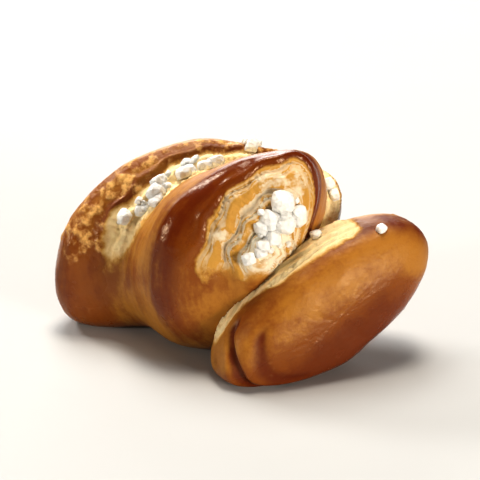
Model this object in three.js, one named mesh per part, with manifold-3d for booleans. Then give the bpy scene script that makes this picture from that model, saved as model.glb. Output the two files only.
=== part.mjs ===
// A pretzel bite: a short strip of layered lye dough, twisted about its length so that brown folds and pale
// grooves wind round it, with its last end pressed out sideways as a flap, and coarse salt baked onto it.
// Millimetres, +Z up, resting on z = 0. The flap lies at +X, and the front that shows the grooves faces -Y.
import * as THREE from "three";
import { mergeVertices } from "three/addons/utils/BufferGeometryUtils.js";
import Module from "manifold-3d";

const DEGREE = Math.PI / 180;
const TURN = 2 * Math.PI;
const BOTTOM = 1.5 * Math.PI;
const BOTTOM_NEARS = 245 * DEGREE;

// The strip, measured along its own axis from the closed end to the end under the flap.
const STRIP_START = -17.4;
const STRIP_END = 17.8;
const START_DOME = 12.0;
const START_DOME_POWER = 2.4;
const END_DOME = 9.4;
const END_DOME_POWER = 2.8;
const END_LEAN_Y = -7.9;
const END_LEAN_Z = 5.3;
const END_LEAN_LENGTH = 20.0;

// The bowed axis: how far it is off the straight line, and where it runs level.
const BOW_AT = 28.0;
const SIDE_BOW = 6.4;
const ARCH = 5.15;
const SLOPE = 0.107;
const AXIS_HEIGHT = 16.6;

// The twist: the length of half a turn, its place on the strip, and the tilt of the folds.
const HALF_TURN = 23.8;
const TWIST_AT_MIDDLE = 103.6 * DEGREE;
const FOLD_LEAN_Y = -1.67;
const FOLD_LEAN_Z = 7.58;

// A fold: its crest, its groove, and the crease at the bottom of the groove, deepest beside the flap.
const CREST_RADIUS = 20.1;
const GROOVE_RADIUS = 16.3;
const SHALLOW_CREASE = 0.6;
const DEEP_CREASE = 2.4;
const CREASE_POWER = 3.0;
const LAST_CREST = 2.0;
const LAST_GROOVE = 2.5;
const START_FOLD = 0.8;
const END_FOLD = 0.3;

// The layers that open between a crest and its groove, in shares of half a turn: a narrow band on the first
// folds and the whole flank of the last. They open where the strip faces up, and their edges lean and wave.
const LAYERS_FIRST_FROM = 0.27;
const LAYERS_LAST_FROM = 0.12;
const LAYERS_TO = 0.64;
const LAYERS_LEAN = 0.15;
const LAYER_STEP = 0.13;
const LAYER_RELIEF = 2.2;
const LAYER_LIP = 0.8;
const LAYER_SINK = 0.4;
const LAYERS_SHUT = -0.1;
const LAYERS_OPEN = 0.5;
const LAYER_WAVE = 0.012;
const LAYER_WAVES = [
  { count: 9, drift: 0.4 },
  { count: 17, drift: -0.7 },
];

// The flap: half its length, half its width and half its thickness, and where it lies on the strip.
const FLAP_LONG = 21.3;
const FLAP_WIDE = 10.4;
const FLAP_THICK = 8.0;
const FLAP_POWER = 3.0;
const FLAP_CENTRE = new THREE.Vector3(22.3, 0.8, 10.9);
const FLAP_TURN = new THREE.Euler(28.2 * DEGREE, -4.9 * DEGREE, -9.3 * DEGREE, "ZYX");

// The layers rolled up at the flap's near end, and the creases between them: how far through the flap each
// lies from its middle, how far it bends back on its way up and half its width, all as shares of half the
// thickness, and how far it sinks, as a share of the flap's reach.
const ROLL_CREASES = [
  { depth: 0.6, bend: 0.4, half: 0.14, sink: 0.085 },
  { depth: 0.85, bend: 0.06, half: 0.08, sink: 0.045 },
];
const ROLL_BEND_FROM = 179 * DEGREE;
const ROLL_BEND_LENGTH = 22 * DEGREE;
const ROLL_TOWARDS = 182 * DEGREE;
const ROLL_EDGE = 0.8;
const ROLL_FULL = 0.94;

// Uneven baking: low swells, as shares of the radius. Each has its count of waves round the strip, its drift
// with every millimetre along it, its phase and its height.
const SWELL = 0.014;
const SWELLS = [
  { count: 2, drift: 0.21, phase: 0.6, height: 1.0 },
  { count: 3, drift: -0.33, phase: 2.1, height: 0.8 },
  { count: 5, drift: 0.47, phase: 4.0, height: 0.5 },
  { count: 7, drift: -0.6, phase: 1.2, height: 0.4 },
];

// The bottom: its edge is rounded, and the face it rests on is cut flat.
const BASE_ROUND = 4.0;
const BASE_CUT = 0.35;
const CUT_BLOCK = 200.0;

// The salt: half the length of a grain, its other sizes as shares of that, and how much of it is sunk.
const GRAIN_SMALL = 0.95;
const GRAIN_LARGE = 1.75;
const GRAIN_LENGTH = [0.85, 1.2];
const GRAIN_WIDTH = [0.75, 1.0];
const GRAIN_FLATNESS = 0.72;
const GRAIN_SUNK = 0.25;
const GRAIN_TIP = 0.35;
const GRAIN_SCATTER = 0.35;
const FIRST_GRAIN = 21;
const NEXT_GRAIN = 10;

// Runs of salt: where each begins and ends along the strip and round it in degrees, how many grains it has,
// how far they stray along the strip, and how large they are next to the others.
const SALT_RUNS = [
  { along: [0.4, -1.6], angle: [90, 134], count: 7, stray: 1.6, scale: 1.35 },
  { along: [-2.4, -4.0], angle: [137, 146], count: 2, stray: 0.8, scale: 1.00 },
  { along: [16.0, 14.4], angle: [98, 160], count: 9, stray: 1.3, scale: 1.22 },
  { along: [-3.0, 1.0], angle: [58, 66], count: 3, stray: 0.8, scale: 1.00 },
  { along: [9.0, 14.0], angle: [56, 32], count: 4, stray: 1.6, scale: 1.00 },
  { along: [-12.0, -1.0], angle: [44, 4], count: 6, stray: 1.8, scale: 1.00 },
];
// Grains on the flap: the angle away from the middle of its inner face, and the angle round that.
const FLAP_SALT = [
  { away: 104, round: 24 },
  { away: 82, round: 58 },
  { away: 80, round: 120 },
];

// How the whole bite is turned and moved, so that it is longest along X and stands centred on the origin.
const BITE_TURN = -55.8 * DEGREE;
const BITE_OFFSET = new THREE.Vector3(0.35, 9.11, 0);

// The meshes: rows and columns of vertices, how far the strip's rows gather at its ends, and small distances.
const STRIP_ROWS = 52;
const STRIP_COLUMNS = 70;
const ROW_GATHER = 0.55;
const FLAP_ROWS = 48;
const FLAP_COLUMNS = 38;
const PROBE = 0.02;
const WELD = 1e-4;

// The seeded draw: a sine whose far digits are kept.
const DRAW_STEP = 12.9898;
const DRAW_START = 4.1414;
const DRAW_SPREAD = 43758.5453;

const wasm = await Module();
wasm.setup();

const clamp = (value) => Math.min(1, Math.max(0, value));
const mix = (a, b, share) => a + (b - a) * share;
const fraction = (value) => value - Math.floor(value);
const dome = (share, power) => (1 - (1 - clamp(share)) ** power) ** (1 / power);
const draw = (seed) => fraction(Math.sin(seed * DRAW_STEP + DRAW_START) * DRAW_SPREAD);

function smooth(low, high, value) {
  const share = clamp((value - low) / (high - low));
  return share * share * (3 - 2 * share);
}

// The larger of a height and the floor, rounded where they meet.
function settle(height) {
  const near = Math.max(BASE_ROUND - Math.abs(height), 0) / BASE_ROUND;
  return Math.max(height, 0) + (near * near * BASE_ROUND) / 4 - BASE_CUT;
}

function swell(x, angle) {
  let sum = 0;
  for (const wave of SWELLS) {
    sum += wave.height * Math.sin(wave.count * angle + wave.drift * x + wave.phase);
  }
  return SWELL * sum;
}

function foldLean(angle) {
  return FOLD_LEAN_Y * Math.cos(angle) + FOLD_LEAN_Z * Math.sin(angle);
}

// How far round the twist a point is, in half turns: whole on a crest and a half more in a groove.
// The count starts at the bottom, where the strip rests.
function twistAt(x, angle) {
  return (angle + TWIST_AT_MIDDLE) / Math.PI + (x + foldLean(angle)) / HALF_TURN;
}

// The height of a fold, from 0 in its groove to 1 on its crest. After the last groove it stays down, except
// near the bottom, where it meets the start of the count.
function foldAt(twist, upright) {
  const past = twist > LAST_GROOVE ? upright : 0;
  return (0.5 + 0.5 * Math.cos(TURN * twist)) * (1 - past);
}

// Layer edges like roof tiles: each layer rises to its lip and then drops to the next one.
function layerRelief(twist, x, angle) {
  let share = fraction(twist);
  for (const wave of LAYER_WAVES) {
    share += LAYER_WAVE * Math.sin(wave.count * angle + wave.drift * x);
  }
  const from = mix(LAYERS_FIRST_FROM, LAYERS_LAST_FROM, smooth(LAST_GROOVE - 1, LAST_CREST, twist));
  const layer = (share - from + LAYERS_LEAN * Math.cos(angle)) / LAYER_STEP;
  const begun = smooth(-1, 0, layer);
  const ended = smooth(LAYERS_TO - LAYER_STEP, LAYERS_TO, share);
  const opened = smooth(LAYERS_SHUT, LAYERS_OPEN, Math.sin(angle));
  const rise = fraction(layer);
  const tile = rise * (1 - smooth(LAYER_LIP, 1, rise));
  return LAYER_RELIEF * begun * (1 - ended) * opened * (tile - LAYER_SINK);
}

// How far the strip's far end leans, in millimetres at the full radius.
function endLean(along, angle) {
  const share = smooth(STRIP_END - END_LEAN_LENGTH, STRIP_END, along);
  return share * (END_LEAN_Y * Math.cos(angle) + END_LEAN_Z * Math.sin(angle));
}

// A point of the twisted strip, from its place along the axis and the angle round it.
function stripPoint(along, round) {
  const angle = round < BOTTOM ? round : round - TURN;
  const upright = 1 - smooth(BOTTOM_NEARS, BOTTOM, angle);
  const startDome = dome((along - STRIP_START) / START_DOME, START_DOME_POWER);
  const endDome = dome((STRIP_END - along) / END_DOME, END_DOME_POWER);
  const lean = endLean(along, angle);
  const x = along + lean * endDome;
  const twist = twistAt(x, angle);
  const fold = mix(END_FOLD, mix(START_FOLD, foldAt(twist, upright), startDome), endDome);
  const deepening = smooth(LAST_CREST, LAST_GROOVE, twist) * upright;
  const crease = mix(SHALLOW_CREASE, DEEP_CREASE, deepening);
  const bare = mix(GROOVE_RADIUS, CREST_RADIUS, fold) - crease * (1 - fold) ** CREASE_POWER;
  const layered = bare * (1 + swell(x, angle)) + layerRelief(twist, x, angle);
  const radius = layered * startDome * endDome;
  const bow = (x - BOW_AT) / BOW_AT;
  const height = AXIS_HEIGHT - SLOPE * (x - BOW_AT) - ARCH * bow * bow + radius * Math.sin(angle);
  const side = radius * Math.cos(angle) - SIDE_BOW * bow * bow;
  return new THREE.Vector3(along + (lean * radius) / CREST_RADIUS, side, settle(height));
}

// How far the creases between the flap's rolled layers sink in, as a share of its reach.
function rollCrease(depth, round) {
  const angle = round < 0 ? round + TURN : round;
  const shown = smooth(ROLL_EDGE, ROLL_FULL, Math.cos(angle - ROLL_TOWARDS));
  const bent = clamp((ROLL_BEND_FROM - angle) / ROLL_BEND_LENGTH) ** 2;
  let deepest = 0;
  for (const crease of ROLL_CREASES) {
    const off = Math.abs(depth - crease.depth + crease.bend * bent);
    deepest = Math.max(deepest, crease.sink * (1 - smooth(0, crease.half, off)));
  }
  return shown * deepest;
}

// A point of the flap, from the angle away from the middle of its inner face and the angle round that.
function flapPoint(away, round) {
  const through = -Math.cos(away);
  const long = Math.sin(away) * Math.cos(round);
  const wide = Math.sin(away) * Math.sin(round);
  const face = Math.hypot(long / FLAP_LONG, wide / FLAP_WIDE);
  const inverse = Math.abs(through / FLAP_THICK) ** FLAP_POWER + face ** FLAP_POWER;
  const plain = inverse ** (-1 / FLAP_POWER);
  const crease = rollCrease((through * plain) / FLAP_THICK, round);
  const reach = plain * (1 - crease + Math.sin(away) * swell(0, round));
  const point = new THREE.Vector3(through, long, wide).multiplyScalar(reach);
  point.applyEuler(FLAP_TURN).add(FLAP_CENTRE);
  point.z = settle(point.z);
  return point;
}

// A closed surface from pole to pole: one vertex at each pole and rings of vertices between them.
// Each square between two rings is split along the way that the folds wind.
function closedSurface(rows, columns, pointAt) {
  const vertices = [pointAt(0, 0)];
  for (let row = 1; row < rows; row++) {
    for (let column = 0; column < columns; column++) {
      vertices.push(pointAt(row / rows, (TURN * column) / columns));
    }
  }
  vertices.push(pointAt(1, 0));
  const last = vertices.length - 1;
  const ring = (row, column) => 1 + (row - 1) * columns + (column % columns);
  const triangles = [];
  for (let column = 0; column < columns; column++) {
    triangles.push(0, ring(1, column + 1), ring(1, column));
    for (let row = 1; row < rows - 1; row++) {
      triangles.push(ring(row, column), ring(row, column + 1), ring(row + 1, column));
      triangles.push(ring(row, column + 1), ring(row + 1, column + 1), ring(row + 1, column));
    }
    triangles.push(last, ring(rows - 1, column), ring(rows - 1, column + 1));
  }
  const geometry = new THREE.BufferGeometry().setFromPoints(vertices);
  geometry.setIndex(triangles);
  return geometry;
}

// Rows gather at both ends of the strip, where it curves most.
function rowPlace(share) {
  const eased = 0.5 - 0.5 * Math.cos(Math.PI * share);
  return mix(STRIP_START, STRIP_END, mix(share, eased, ROW_GATHER));
}

// The flap's rows and columns are spread as on an ellipsoid of its three sizes, so that they are even.
function flapPlace(share, round) {
  const long = FLAP_LONG * Math.sin(Math.PI * share) * Math.cos(round);
  const wide = FLAP_WIDE * Math.sin(Math.PI * share) * Math.sin(round);
  const away = Math.atan2(Math.hypot(long, wide), FLAP_THICK * Math.cos(Math.PI * share));
  return [away, Math.atan2(wide, long)];
}

function outward(pointAt, u, v) {
  const alongU = pointAt(u + PROBE, v).sub(pointAt(u - PROBE, v));
  const alongV = pointAt(u, v + PROBE).sub(pointAt(u, v - PROBE));
  return alongV.cross(alongU).normalize();
}

// One grain: a rounded block of salt, turned at random and partly sunk where it lies.
function grain(point, normal, scale, seed) {
  const half = scale * mix(GRAIN_SMALL, GRAIN_LARGE, draw(seed) ** 2);
  const length = half * mix(...GRAIN_LENGTH, draw(seed + 1));
  const width = half * mix(...GRAIN_WIDTH, draw(seed + 2));
  const height = half * GRAIN_FLATNESS;
  const geometry = new THREE.IcosahedronGeometry(1, 0).scale(length, width, height);
  geometry.rotateZ(TURN * draw(seed + 3));
  geometry.rotateX(GRAIN_TIP * (2 * draw(seed + 4) - 1));
  const up = new THREE.Vector3(0, 0, 1);
  geometry.applyQuaternion(new THREE.Quaternion().setFromUnitVectors(up, normal));
  const middle = point.clone().addScaledVector(normal, height * (1 - 2 * GRAIN_SUNK));
  return geometry.translate(middle.x, middle.y, middle.z);
}

function saltGrains() {
  const grains = [];
  let seed = FIRST_GRAIN;
  for (const run of SALT_RUNS) {
    for (let n = 0; n < run.count; n++) {
      const share = (n + 0.5 + GRAIN_SCATTER * (2 * draw(seed + 5) - 1)) / run.count;
      const angle = mix(...run.angle, share) * DEGREE;
      const along = mix(...run.along, share) + run.stray * (2 * draw(seed + 6) - 1);
      grains.push(grain(stripPoint(along, angle), outward(stripPoint, along, angle), run.scale, seed));
      seed += NEXT_GRAIN;
    }
  }
  for (const place of FLAP_SALT) {
    const away = place.away * DEGREE;
    const round = place.round * DEGREE;
    grains.push(grain(flapPoint(away, round), outward(flapPoint, away, round), 1, seed));
    seed += NEXT_GRAIN;
  }
  return grains;
}

function solidOf(geometry) {
  geometry.deleteAttribute("normal");
  geometry.deleteAttribute("uv");
  const merged = mergeVertices(geometry, WELD);
  const vertProperties = merged.attributes.position.array;
  const triVerts = new Uint32Array(merged.index.array);
  return new wasm.Manifold(new wasm.Mesh({ numProp: 3, vertProperties, triVerts }));
}

function geometryOf(solid) {
  const mesh = solid.getMesh();
  const geometry = new THREE.BufferGeometry();
  geometry.setAttribute("position", new THREE.BufferAttribute(mesh.vertProperties, 3));
  geometry.setIndex(new THREE.BufferAttribute(mesh.triVerts, 1));
  geometry.computeVertexNormals();
  return geometry;
}

const strip = closedSurface(STRIP_ROWS, STRIP_COLUMNS, (share, angle) => stripPoint(rowPlace(share), angle));
const flap = closedSurface(FLAP_ROWS, FLAP_COLUMNS, (share, round) => flapPoint(...flapPlace(share, round)));
const dough = wasm.Manifold.union([strip, flap, ...saltGrains()].map(solidOf));
const block = new THREE.BoxGeometry(CUT_BLOCK, CUT_BLOCK, CUT_BLOCK).translate(0, 0, -CUT_BLOCK / 2);

const bite = new THREE.Mesh(
  geometryOf(dough.subtract(solidOf(block))),
  new THREE.MeshStandardMaterial({ name: "crust", color: 0xa9652a, roughness: 0.42, metalness: 0 }),
);
bite.name = "pretzel_bite";
bite.rotation.z = BITE_TURN;
bite.position.copy(BITE_OFFSET);

const group = new THREE.Group();
group.add(bite);

export default group;
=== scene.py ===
"""A pretzel bite: a strip of layered lye dough twisted about its length, with a flap and baked-on salt."""
import math
from functools import partial
from types import SimpleNamespace

import bpy
from bpy.props import FloatProperty, FloatVectorProperty, IntProperty, PointerProperty
from mathutils import Matrix, Vector


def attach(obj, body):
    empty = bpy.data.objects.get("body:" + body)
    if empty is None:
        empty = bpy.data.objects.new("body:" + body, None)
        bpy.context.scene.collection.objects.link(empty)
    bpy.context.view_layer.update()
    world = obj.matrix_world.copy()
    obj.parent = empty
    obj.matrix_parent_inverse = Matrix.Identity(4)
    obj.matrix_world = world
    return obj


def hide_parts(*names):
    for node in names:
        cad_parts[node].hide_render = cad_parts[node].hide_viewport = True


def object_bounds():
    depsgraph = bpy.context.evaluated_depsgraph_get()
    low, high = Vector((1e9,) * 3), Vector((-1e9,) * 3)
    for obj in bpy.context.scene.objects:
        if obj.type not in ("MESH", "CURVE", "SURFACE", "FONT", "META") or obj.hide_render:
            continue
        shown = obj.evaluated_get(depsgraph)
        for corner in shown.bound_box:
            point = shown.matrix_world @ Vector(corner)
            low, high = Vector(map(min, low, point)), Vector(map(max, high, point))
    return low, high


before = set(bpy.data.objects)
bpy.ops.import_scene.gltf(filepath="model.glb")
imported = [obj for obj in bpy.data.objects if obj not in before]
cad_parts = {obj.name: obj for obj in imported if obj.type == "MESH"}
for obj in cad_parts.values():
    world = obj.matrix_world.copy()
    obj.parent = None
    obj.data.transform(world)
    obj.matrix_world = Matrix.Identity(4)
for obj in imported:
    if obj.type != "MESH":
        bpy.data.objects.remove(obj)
CAD_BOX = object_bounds()

bl_info = {
    "name": "Pretzel Bite",
    "version": (1, 0, 0),
    "blender": (4, 5, 0),
    "location": "3D View > Sidebar > Bakery",
    "description": "Makes a twisted bite of salted lye dough and a plain studio to show it in",
    "category": "Add Mesh",
}

BODY = "root"
NODE = "pretzel_bite"
MM = 0.001
WELD = 1e-6
FLOOR_SHADE = 0.97
WHITE = (1, 1, 1)
UP = Vector((0, 0, 1))

# Low swells of uneven baking: waves round the strip, drift for each metre along it, phase and height.
SWELLS = ((2, 210, 0.6, 1.0), (3, -330, 2.1, 0.8), (5, 470, 4.0, 0.5), (7, -600, 1.2, 0.4))
# Waves of the layers' edges: waves round the strip and drift for each metre along it.
LAYER_WAVES = ((9, 400), (17, -700))
# The seam below the strip, where the count of its twist starts again: angles round it.
SEAM = (math.radians(245), math.radians(270))
# How much closer the strip's rows of faces lie at its ends.
EASING = 0.95
# Heights between which the fine relief fades in, and how strong it is on smooth crust.
BASE_FADE = (0.2 * MM, 3 * MM)
CALM = 0.35

# Creases between the layers rolled up at the flap's near end: how far through the flap each lies from its
# middle, how far it bends back on its way up, half its width, and its depth as a share of the flap's reach.
ROLL_CREASES = ((0.6, 0.4, 0.14, 0.085), (0.85, 0.06, 0.08, 0.045))

# What the mesh of the dough holds for its finish.
MARKS = ("torn", "layer", "last", "dark", "bake", "spots", "drawn", "grain_x", "grain_y", "grain_z")

# Runs of salt on the strip: from and to along it in millimetres, from and to round it in degrees, the count
# of coarse grains, how far they stray along it in millimetres, and how large they are next to the others.
SALT_RUNS = (
    ((0.4, -1.6), (90, 134), 7, 1.6, 1.35),
    ((-2.4, -4.0), (137, 146), 2, 0.8, 1.0),
    ((16.0, 14.4), (98, 160), 9, 1.3, 1.22),
    ((-3.0, 1.0), (58, 66), 3, 0.8, 1.0),
    ((9.0, 14.0), (56, 32), 4, 1.6, 1.0),
    ((-12.0, -1.0), (44, 4), 6, 1.8, 1.0),
)
# Grains on the flap: degrees away from the middle of its inner face, and degrees round that.
FLAP_SALT = ((104, 24), (82, 58), (80, 120))
# The length and the width of a grain next to its drawn size: least and most.
GRAIN_LENGTHS = (0.85, 1.2)
GRAIN_WIDTHS = (0.75, 1.0)
# How far apart a surface is probed for its slope: along the strip in metres, and round it in radians.
PROBE_LENGTH = 0.02 * MM
PROBE_ANGLE = 0.02

# How the bake, and the painted light and shade, mark the strip. Each pair is what a mark rises between as a
# value passes from the first number to the second. A facing is the sine of the angle round the strip, 1 on
# top. A share counts half turns past a crest, and a layer counts from the first lip.
EARLY_TEAR = 0.035
EARLY_FACING = (0.8, 0.5)
TORN_FACING = (-0.45, 0.8)
LIP = ((-0.9, -0.2), (1.4, 0.6), (0.25, 0.7))
LIP_DARK = 0.6
CREST = ((-0.08, 0.0), (0.2, 0.08), (-0.8, 0.0))
# Where the blisters gather on the first folds' shoulders; the finish paints glints on them there.
SHOULDER = ((0.0, 0.12), (0.78, 0.6), (0.0, 0.3))
STRETCHED = ((0.36, 0.5), (1.0, 0.93))
STRETCHED_FACING = (-0.95, -0.3)
STRETCHED_LIGHTER = 0.6
FACE_SHARE = (0.12, 0.24)
FACE_FACING = (-0.1, 0.4)
FACE_STRETCHED = (0.6, 0.1)
FIRST_FACING = (0.2, 0.6)
FIRST_BAKE = (1.1, 0.4)
LAST_BAKE = 0.9
# Painted light: the strip's downward-facing side is painted lighter, standing in for light bounced up from
# the floor.
UNDER_FACING = (0.0, -0.6)
PAINTED_UNDER_LIGHT = 0.45
END_DOME = (0.3, 0.75)
END_BAKE = 0.75
DRAWN_DOME = (0.5, 0.97)
SEAM_TURN = (-0.3, -0.5)
LEAST_MARK = 0.1
STRIP_GRAIN = (24, 3.5, 3.5)

# The same on the flap, in shares of its half length, half width and half thickness.
# Painted shade: how dark the creases between the rolled layers are painted.
PAINTED_CREASE_SHADE = (0.0, 0.5)
# Painted highlight: the rolled layers at the flap's near end are painted lighter.
CURL = ((0.75, 0.95), (0.95, 0.7))
PAINTED_CURL_HIGHLIGHT = 0.25
RIM_DEPTH = 0.46
RIM_NARROWS = 0.52
RIM_NEAR = (0.35, 0.9)
RIM = ((0.1, 0.45), (0.92, 0.75))
RIM_FADE = 0.2
RIM_LAYERS = 1.3
RIM_LAST = 0.15
CORNER = ((-0.4, 0.0), (0.8, 0.35), (0.4, 0.8), (-0.3, 0.1))
CORNER_DARK = 0.9
# Painted highlight: a soft pale sheen painted on the flap's face, a little above its middle.
PAINTED_SHEEN_UP = 0.4
PAINTED_SHEEN_SPANS = ((0.8, 0.0), (0.3, 0.8))
PAINTED_SHEEN = 0.4
FLAP_BAKE = 0.5
# Darker towards the flap's bottom: part well-baked crust, part painted shade on its downward-facing side.
LOW = ((0.35, -0.5), (0.95, 0.4))
LOW_BAKE_AND_SHADE = 1.3
RIGHT = ((0.3, 0.8), (-0.7, -0.2))
RIGHT_LIGHTER = 0.45
FLAP_DRAWN = 0.45
FLAP_GRAIN = (7, 4, 4)

# The soft lights: their places, widths in metres and powers in watts, and whether they are warm.
LIGHTS = {
    "Key light": ((-0.1, 0.42, 0.88), 0.44, 6.4, False),
    "Back light": ((-0.2, 1.1, 0.3), 0.56, 4.8, False),
    "Side light": ((-0.62, 0.48, 0.58), 0.2, 4.2, False),
    "Low light": ((-0.87, -0.34, 0.26), 0.16, 3.2, True),
    "Fill light": ((0.68, -0.7, 0.16), 0.3, 9.2, True),
    "Top light": ((0.05, 0.1, 0.95), 0.26, 5.8, True),
}


# Properties

def number(name, description, value, **kind):
    """A plain number, such as a power or a share."""
    return FloatProperty(name=name, description=description, default=value, precision=5, **kind)


def length(name, description, millimetres):
    """A length, given in millimetres and kept in metres."""
    return number(name, description, millimetres * MM, unit="LENGTH")


def angle(name, description, degrees):
    """An angle, given in degrees and kept in radians."""
    return number(name, description, math.radians(degrees), subtype="ANGLE")


def count(name, description, value):
    """A whole number of things."""
    return IntProperty(name=name, description=description, default=value, min=0)


def colour(name, description, red, green, blue):
    """A colour, given as it shows on a screen from 0 to 255 and kept as linear light."""
    shown = [part / 255 for part in (red, green, blue)]
    light = [part / 12.92 if part < 0.04045 else ((part + 0.055) / 1.055) ** 2.4 for part in shown]
    return FloatVectorProperty(
        name=name, description=description, default=light, size=3, min=0, max=1, subtype="COLOR"
    )


def own_properties(group):
    """The properties that a group adds to those of every group."""
    return [prop for prop in group.bl_rna.properties if prop.identifier not in ("rna_type", "name")]


class DoughSizes(bpy.types.PropertyGroup):
    """The form of the dough: the twisted strip, its folds and layers, and the flap at its end."""

    strip_start: length("Strip start", "Place of the closed end on the axis", -17.4)
    strip_end: length("Strip end", "Place of the end under the flap", 17.8)
    start_dome: length("Start dome", "Length that rounds off the closed end", 12.0)
    start_dome_power: number("Start dome power", "How square the closed end is", 2.4)
    end_dome: length("End dome", "Length that rounds off the other end", 9.4)
    end_dome_power: number("End dome power", "How square the other end is", 2.8)
    end_lean_y: length("End lean across", "Lean of the end at its side", -7.9)
    end_lean_z: length("End lean up", "Lean of the end at its top", 5.3)
    end_lean_length: length("End lean length", "Length of strip that leans", 20.0)

    bow_at: length("Level at", "Where the bowed axis runs level", 28.0)
    side_bow: length("Side bow", "How far the axis bows sideways", 6.4)
    arch: length("Arch", "How far the axis bows down", 5.15)
    slope: number("Slope", "Drop of the axis along its length", 0.107)
    axis_height: length("Axis height", "Height of the axis where it runs level", 16.6)

    half_turn: length("Half turn", "Length of strip for half a turn", 23.8)
    twist_at_middle: angle("Twist at middle", "Twist at the middle of the strip", 103.6)
    fold_lean_y: length("Fold lean across", "Lean of the folds at their side", -1.67)
    fold_lean_z: length("Fold lean up", "Lean of the folds at their top", 7.58)
    crest_radius: length("Crest radius", "Radius on the crest of a fold", 20.1)
    groove_radius: length("Groove radius", "Radius in a groove", 16.3)
    shallow_crease: length("Shallow crease", "Depth of the crease in the first grooves", 0.6)
    deep_crease: length("Deep crease", "Depth of the crease beside the flap", 2.4)
    crease_power: number("Crease power", "How narrow the creases are", 3.0)
    last_crest: number("Last crest", "Half turns at which the last crest lies", 2.0)
    last_groove: number("Last groove", "Half turns at which the last groove lies", 2.5)
    start_fold: number("Start fold", "Height of a fold at the closed end", 0.8)
    end_fold: number("End fold", "Height of a fold at the other end", 0.3)

    layers_first_from: number("First layers from", "Start of the first folds' layers, in half turns", 0.27)
    layers_last_from: number("Last layers from", "Start of the last fold's layers, in half turns", 0.12)
    layers_to: number("Layers to", "End of the layers, in half turns past a crest", 0.64)
    layers_lean: number("Layers lean", "How much the edges lean round the strip", 0.15)
    layer_step: number("Layer step", "Width of a layer in half turns", 0.13)
    layer_relief: length("Layer relief", "How far a layer rises to its lip", 2.2)
    layer_lip: number("Layer lip", "Where in a layer its lip lies", 0.8)
    layer_sink: number("Layer sink", "How far the layers lie below the crust", 0.4)
    layers_shut: number("Layers shut", "Facing below which the layers are shut", -0.1)
    layers_open: number("Layers open", "Facing above which the layers are open", 0.5)
    layer_wave: number("Layer wave", "Wave of the layers' edges, in half turns", 0.012)

    mark_start: number("Mark start", "How far before a crest its marks begin, in half turns", 0.2)
    torn_rise: number("Torn rise", "Half turns over which the dough tears open", 0.03)
    torn_fade: number("Torn fade", "Half turns over which it fades into crust", 0.12)

    flap_long: length("Flap length", "Half the length of the flap", 21.3)
    flap_wide: length("Flap width", "Half the width of the flap", 10.4)
    flap_thick: length("Flap thickness", "Half the thickness of the flap", 8.0)
    flap_power: number("Flap power", "How square the flap's edges are", 3.0)
    flap_x: length("Flap along", "Place of the flap's middle along the strip", 22.3)
    flap_y: length("Flap across", "Place of the flap's middle across the strip", 0.8)
    flap_z: length("Flap height", "Height of the flap's middle", 10.9)
    flap_roll: angle("Flap roll", "Turn about the strip's length", 28.2)
    flap_pitch: angle("Flap pitch", "Turn about the strip's width", -4.9)
    flap_yaw: angle("Flap yaw", "Turn about the upright", -9.3)
    roll_bend_from: angle("Roll bend from", "Where the flap's creases begin to bend back", 179)
    roll_bend_length: angle("Roll bend length", "How far round the flap they bend", 22)
    roll_towards: angle("Rolls towards", "Where round the flap the rolled layers lie", 182)
    roll_edge: number("Roll edge", "Cosine where the rolled layers begin", 0.8)
    roll_full: number("Roll full", "Cosine where they are at full depth", 0.94)

    swell: number("Swell", "Height of swells as a share of the radius", 0.014)
    base_round: length("Base round", "Height that rounds off the bottom's edge", 4.0)
    base_cut: length("Base cut", "What is cut off for the face it rests on", 0.35)
    bite_turn: angle("Bite turn", "Turn of the whole bite about the upright", -55.8)
    bite_x: length("Bite along", "Place of the whole bite along X", 0.35)
    bite_y: length("Bite across", "Place of the whole bite along Y", 9.11)

    pore_depth: length("Pore depth", "Depth of the crust's fine pores", 0.1)
    wrinkle_depth: length("Wrinkle depth", "Depth of the crust's wrinkles", 0.35)
    blister_height: length("Blister height", "Height of the crust's small blisters", 0.25)
    streak_depth: length("Streak depth", "Depth of the streaks in the stretched crust", 0.35)
    flake_depth: length("Flake depth", "Depth of the thin sheets in the open layers", 0.6)
    fibre_depth: length("Fibre depth", "Depth of the torn fibres in the open layers", 0.35)
    smoothing: count("Smoothing", "How often the grid's steps are smoothed", 2)
    strip_rows: count("Strip rows", "Rows of faces along the strip", 180)
    strip_columns: count("Strip columns", "Columns of faces round the strip", 360)
    flap_rows: count("Flap rows", "Rows of faces from face to face of the flap", 110)
    flap_columns: count("Flap columns", "Columns of faces round the flap", 230)


class SaltSizes(bpy.types.PropertyGroup):
    """The grains of salt: their sizes, how they lie, and the fine grains among the coarse ones."""

    grain_small: length("Small grain", "Half the length of the smallest coarse grain", 0.95)
    grain_large: length("Large grain", "Half the length of the largest coarse grain", 1.75)
    fine_small: length("Smallest fine grain", "Half the length of the smallest fine grain", 0.4)
    fine_large: length("Largest fine grain", "Half the length of the largest fine grain", 0.8)
    fine_share: number("Fine share", "Fine grains for each coarse grain of a run", 1.6)
    fine_stray: number("Fine stray", "Stray of fine grains next to coarse ones", 1.7)
    flatness: number("Flatness", "Height of a grain as a share of its length", 0.72)
    sunk: number("Sunk", "Share of a grain that lies in the dough", 0.25)
    tip: angle("Tip", "How far a grain may tip over", 20.05)
    scatter: number("Scatter", "How unevenly the grains follow each other", 0.35)
    roundness: number("Roundness", "How far a grain is rounded from a block to a ball", 0.55)
    lumps: length("Lumps", "How far a grain's surface is uneven", 0.45)
    lump_scale: number("Lump scale", "Lumps for each metre of a grain's surface", 700)
    first_draw: count("First draw", "Seed of the first grain", 21)
    next_draw: count("Next draw", "Step of the seed from grain to grain", 10)


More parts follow.
